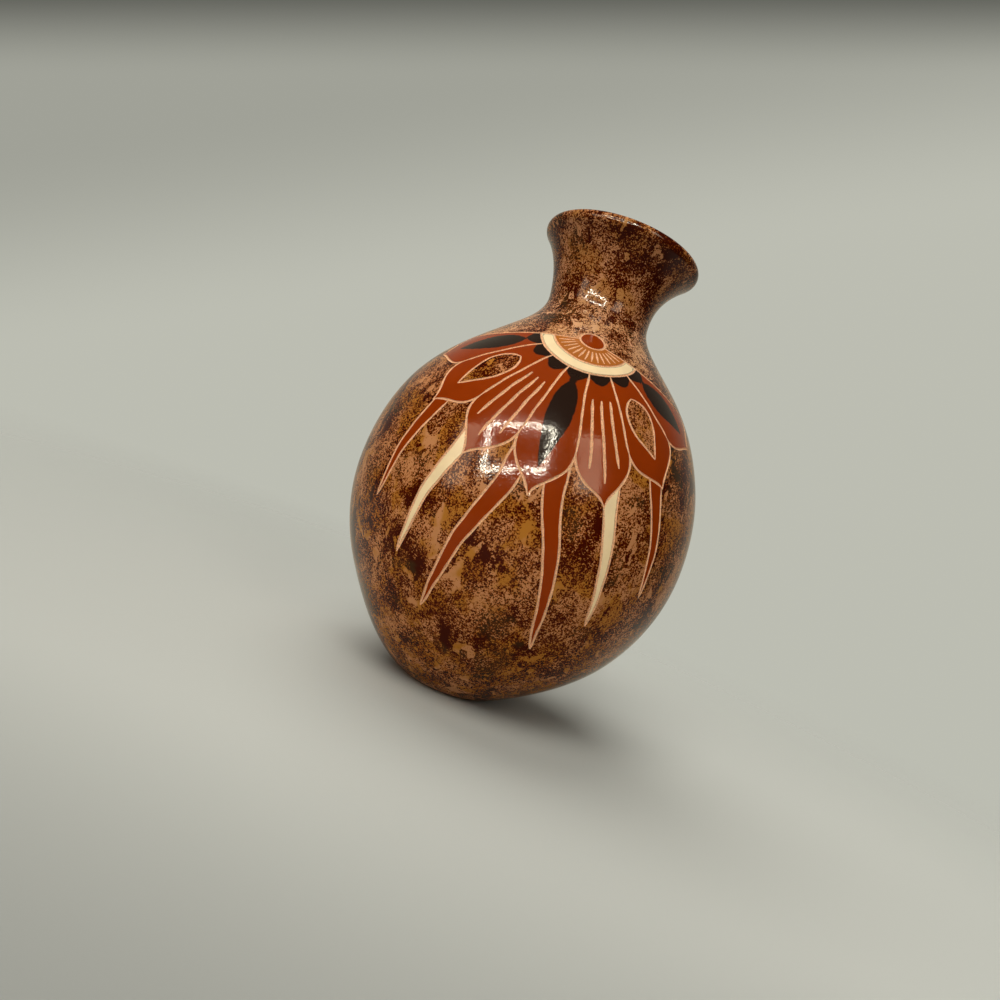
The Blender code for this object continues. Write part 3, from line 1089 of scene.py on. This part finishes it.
# Where the lamps hang. A way is degrees round the pot and up, and rolls and spans are degrees too. A lamp
# is sized by the angle that it spans as the pot sees it
LIGHT_AIM = (-0.008, -0.067, 0.096)
LIGHT_DISTANCE = 2.4
KEY_WAY, RIGHT_WAY, LEFT_WAY = (-18.2, 28.5), (35.0, 33.0), (-51.0, 14.0)
FRONT_WAY, OVERHEAD_WAY = (KEY_WAY[0], 46.0), (228.0, 66.0)

# The key light: a frame of four bars that shows in the gloss of the belly
KEY_ROLL, KEY_SPANS, KEY_BAR = 17.0, (39.5, 27.0), 1.4
KEY_TINT = (1.0, 0.93, 0.74)

# Soft windows that show in the gloss: way, roll, spans, and share of the windows' glow
WINDOWS = (
    ("window_right", RIGHT_WAY, 8.0, (16.0, 29.0), 1.0),
    ("window_left", LEFT_WAY, 18.0, (14.0, 29.0), 0.75),
)
WINDOW_TINT = (1.0, 0.73, 0.50)

# Soft lamps that light the clay and the floor and don't show in the gloss: way, span and glow
LAMPS = (
    ("front", FRONT_WAY, 34.0, "front_glow"),
    ("right", RIGHT_WAY, 21.0, "side_glow"),
    ("left", LEFT_WAY, 21.0, "side_glow"),
    ("overhead", OVERHEAD_WAY, 50.0, "overhead_glow"),
)


def aimed(direction, roll):
    """The turn of a lamp or camera that looks along a direction, rolled by some degrees."""
    return direction.to_track_quat("-Z", "Y") @ Matrix.Rotation(math.radians(roll), 3, "Z").to_quaternion()


def width_of(span):
    return 2.0 * LIGHT_DISTANCE * math.tan(math.radians(span) / 2.0)


def area_light(name, way, roll, size, glow, offset=(0.0, 0.0)):
    """A lamp of a given brightness, aimed at the belly, that the camera doesn't see."""
    azimuth, elevation = (math.radians(angle) for angle in way)
    flat = math.cos(elevation)
    direction = Vector((math.sin(azimuth) * flat, -math.cos(azimuth) * flat, math.sin(elevation)))
    turn = aimed(-direction, roll)
    place = Vector(LIGHT_AIM) + LIGHT_DISTANCE * direction + turn @ Vector((*offset, 0.0))
    bpy.ops.object.light_add(type="AREA", location=place, rotation=turn.to_euler())
    lamp = bpy.context.object
    lamp.name = name
    lamp.data.shape = "RECTANGLE"
    lamp.data.size, lamp.data.size_y = size
    lamp.data.energy = glow * math.pi * size[0] * size[1]
    lamp.visible_camera = False
    return lamp


def light_pot(stage):
    width, height = (width_of(span) for span in KEY_SPANS)
    bar = width_of(KEY_BAR)
    across, up = (width - bar) / 2.0, (height - bar) / 2.0
    for name, offset, size in (
            ("key_left", (-across, 0.0), (bar, height)),
            ("key_right", (across, 0.0), (bar, height)),
            ("key_top", (0.0, up), (width - 2.0 * bar, bar)),
            ("key_bottom", (0.0, -up), (width - 2.0 * bar, bar))):
        lamp = area_light(name, KEY_WAY, KEY_ROLL, size, stage.key_glow, offset)
        lamp.visible_diffuse = False
        lamp.data.color = KEY_TINT
    for name, way, roll, spans, share in WINDOWS:
        size = [width_of(span) for span in spans]
        lamp = area_light(name, way, roll, size, stage.window_glow * share)
        lamp.visible_diffuse = False
        lamp.data.color = WINDOW_TINT
    for name, way, span, glow in LAMPS:
        lamp = area_light(name, way, 0.0, [width_of(span)] * 2, getattr(stage, glow))
        lamp.visible_glossy = False


def light_world(stage):
    """A pale backdrop for the camera, a dim room in front of the pot for its gloss, and an even light."""
    world = bpy.data.worlds.new("studio")
    bpy.context.scene.world = world
    world.use_nodes = True
    tree = world.node_tree
    background = tree.nodes["Background"]
    way = node(tree, "TexCoord").outputs["Generated"]
    parts = node(tree, "SeparateXYZ", way).outputs
    aim = Vector(CAMERA_AIM)
    tilted_up, picture_up = (
        aimed(aim, CAMERA_ROLL + tilt) @ Vector((0.0, 1.0, 0.0)) for tilt in (BACKDROP_TILT, 0.0))
    tilted, level, ahead = (
        node(tree, "VectorMath", way, tuple(along), operation="DOT_PRODUCT").outputs["Value"]
        for along in (tilted_up, picture_up, aim))
    facing = fade(tree, ahead, *AHEAD_FADE)
    forward = calculate(tree, "MAXIMUM", ahead, AHEAD_FADE[0])
    lower, upper = (
        calculate(tree, "MULTIPLY", facing, fade(tree, calculate(tree, "DIVIDE", rise, forward), *shade))
        for rise, shade in ((tilted, LOWER_SHADE), (level, UPPER_SHADE)))
    seen = mingle(tree, lower, tuple(stage.backdrop), [LOWER_SHARE * channel for channel in stage.backdrop])
    seen = mingle(tree, upper, seen, tuple(stage.backdrop_top))
    mirrored = mingle(tree, fade(tree, parts["Y"], *ROOM_FADE), DARK_ROOM, tuple(stage.room))
    even = [stage.ambient * channel for channel in AMBIENT_TINT]
    rays = node(tree, "LightPath").outputs
    colour = mingle(tree, rays["Is Glossy Ray"], even, mirrored)
    straight = calculate(tree, "MAXIMUM", rays["Is Camera Ray"], rays["Is Transmission Ray"])
    tree.links.new(mingle(tree, straight, colour, seen), background.inputs["Color"])


def lay_floor(stage):
    bpy.ops.object.select_all(action="DESELECT")
    bpy.ops.mesh.primitive_circle_add(vertices=FLOOR_SIDES, radius=FLOOR_RADIUS, fill_type="NGON")
    floor = bpy.context.object
    floor.name = "floor"
    made, tree, shader = new_material("pale_floor")
    parts = node(tree, "SeparateXYZ", object_place(tree)).outputs
    # Painted shade: the floor's colour is darkened to the left and in front of the pot
    shade = calculate(tree, "MULTIPLY", fade(tree, parts["X"], *FLOOR_SHADE_ACROSS),
                      fade(tree, parts["Y"], *FLOOR_SHADE_AHEAD))
    laid = mingle(tree, shade, (0.0, 0.0, 0.0), tuple(stage.floor_colour))
    # Painted shadow: glossy rays see the floor in front of the pot dimmed
    mirrored = mingle(tree, fade(tree, parts["Y"], *NEAR_FLOOR_FADE), FLOOR_SHADOW_IN_GLOSS, tuple(stage.room))
    glossy = node(tree, "LightPath").outputs["Is Glossy Ray"]
    tree.links.new(mingle(tree, glossy, laid, mirrored), shader.inputs["Base Color"])
    shader.inputs["Roughness"].default_value = FLOOR_ROUGHNESS
    shader.inputs["Specular IOR Level"].default_value = FLOOR_SPECULAR
    away = node(tree, "VectorMath", object_place(tree), operation="LENGTH").outputs["Value"]
    tree.links.new(fade(tree, away, *FLOOR_FADE), shader.inputs["Alpha"])
    floor.data.materials.append(made)


class VASE_OT_set_stage(bpy.types.Operator):
    """Lay the pale floor, light the pot and set the camera"""

    bl_idname = "vase.set_stage"
    bl_label = "Set the stage"

    def execute(self, context):
        *_, stage = settings(context)
        scene = context.scene
        lay_floor(stage)
        light_world(stage)
        light_pot(stage)
        turn = aimed(Vector(CAMERA_AIM), CAMERA_ROLL)
        bpy.ops.object.camera_add(location=CAMERA_PLACE, rotation=turn.to_euler())
        scene.camera = bpy.context.object
        scene.camera.data.lens = CAMERA_LENS
        scene.camera.data.sensor_width = CAMERA_SENSOR
        scene.camera.data.clip_start = CAMERA_NEAREST
        scene.view_settings.view_transform = "Standard"
        return {"FINISHED"}


class VASE_PT_panel(bpy.types.Panel):
    """The steps that make the vase, in their order"""

    bl_label = "Carved pottery vase"
    bl_idname = "VASE_PT_panel"
    bl_space_type = "VIEW_3D"
    bl_region_type = "UI"
    bl_category = "Vase"

    def draw(self, context):
        for group in settings(context):
            box = self.layout.box()
            box.label(text=type(group).__doc__)
            for name in type(group).__annotations__:
                box.prop(group, name)
        for step in STEPS:
            self.layout.operator(step.bl_idname)


GROUPS = (
    ("vase_sizes", VaseSizes),
    ("vase_carving", VaseCarving),
    ("vase_colours", VaseColours),
    ("vase_stage", VaseStage),
)
STEPS = (VASE_OT_turn_pot, VASE_OT_carve_motif, VASE_OT_part_pot, VASE_OT_set_stage)


def register():
    for name, group in GROUPS:
        bpy.utils.register_class(group)
        setattr(bpy.types.Scene, name, PointerProperty(type=group))
    for made in (*STEPS, VASE_PT_panel):
        bpy.utils.register_class(made)


def unregister():
    for made in reversed((*STEPS, VASE_PT_panel)):
        bpy.utils.unregister_class(made)
    for name, group in reversed(GROUPS):
        delattr(bpy.types.Scene, name)
        bpy.utils.unregister_class(group)


def main():
    register()
    bpy.ops.vase.turn_pot()
    bpy.ops.vase.carve_motif()
    bpy.ops.vase.part_pot()
    bpy.ops.vase.set_stage()


if __name__ == "__main__":
    main()
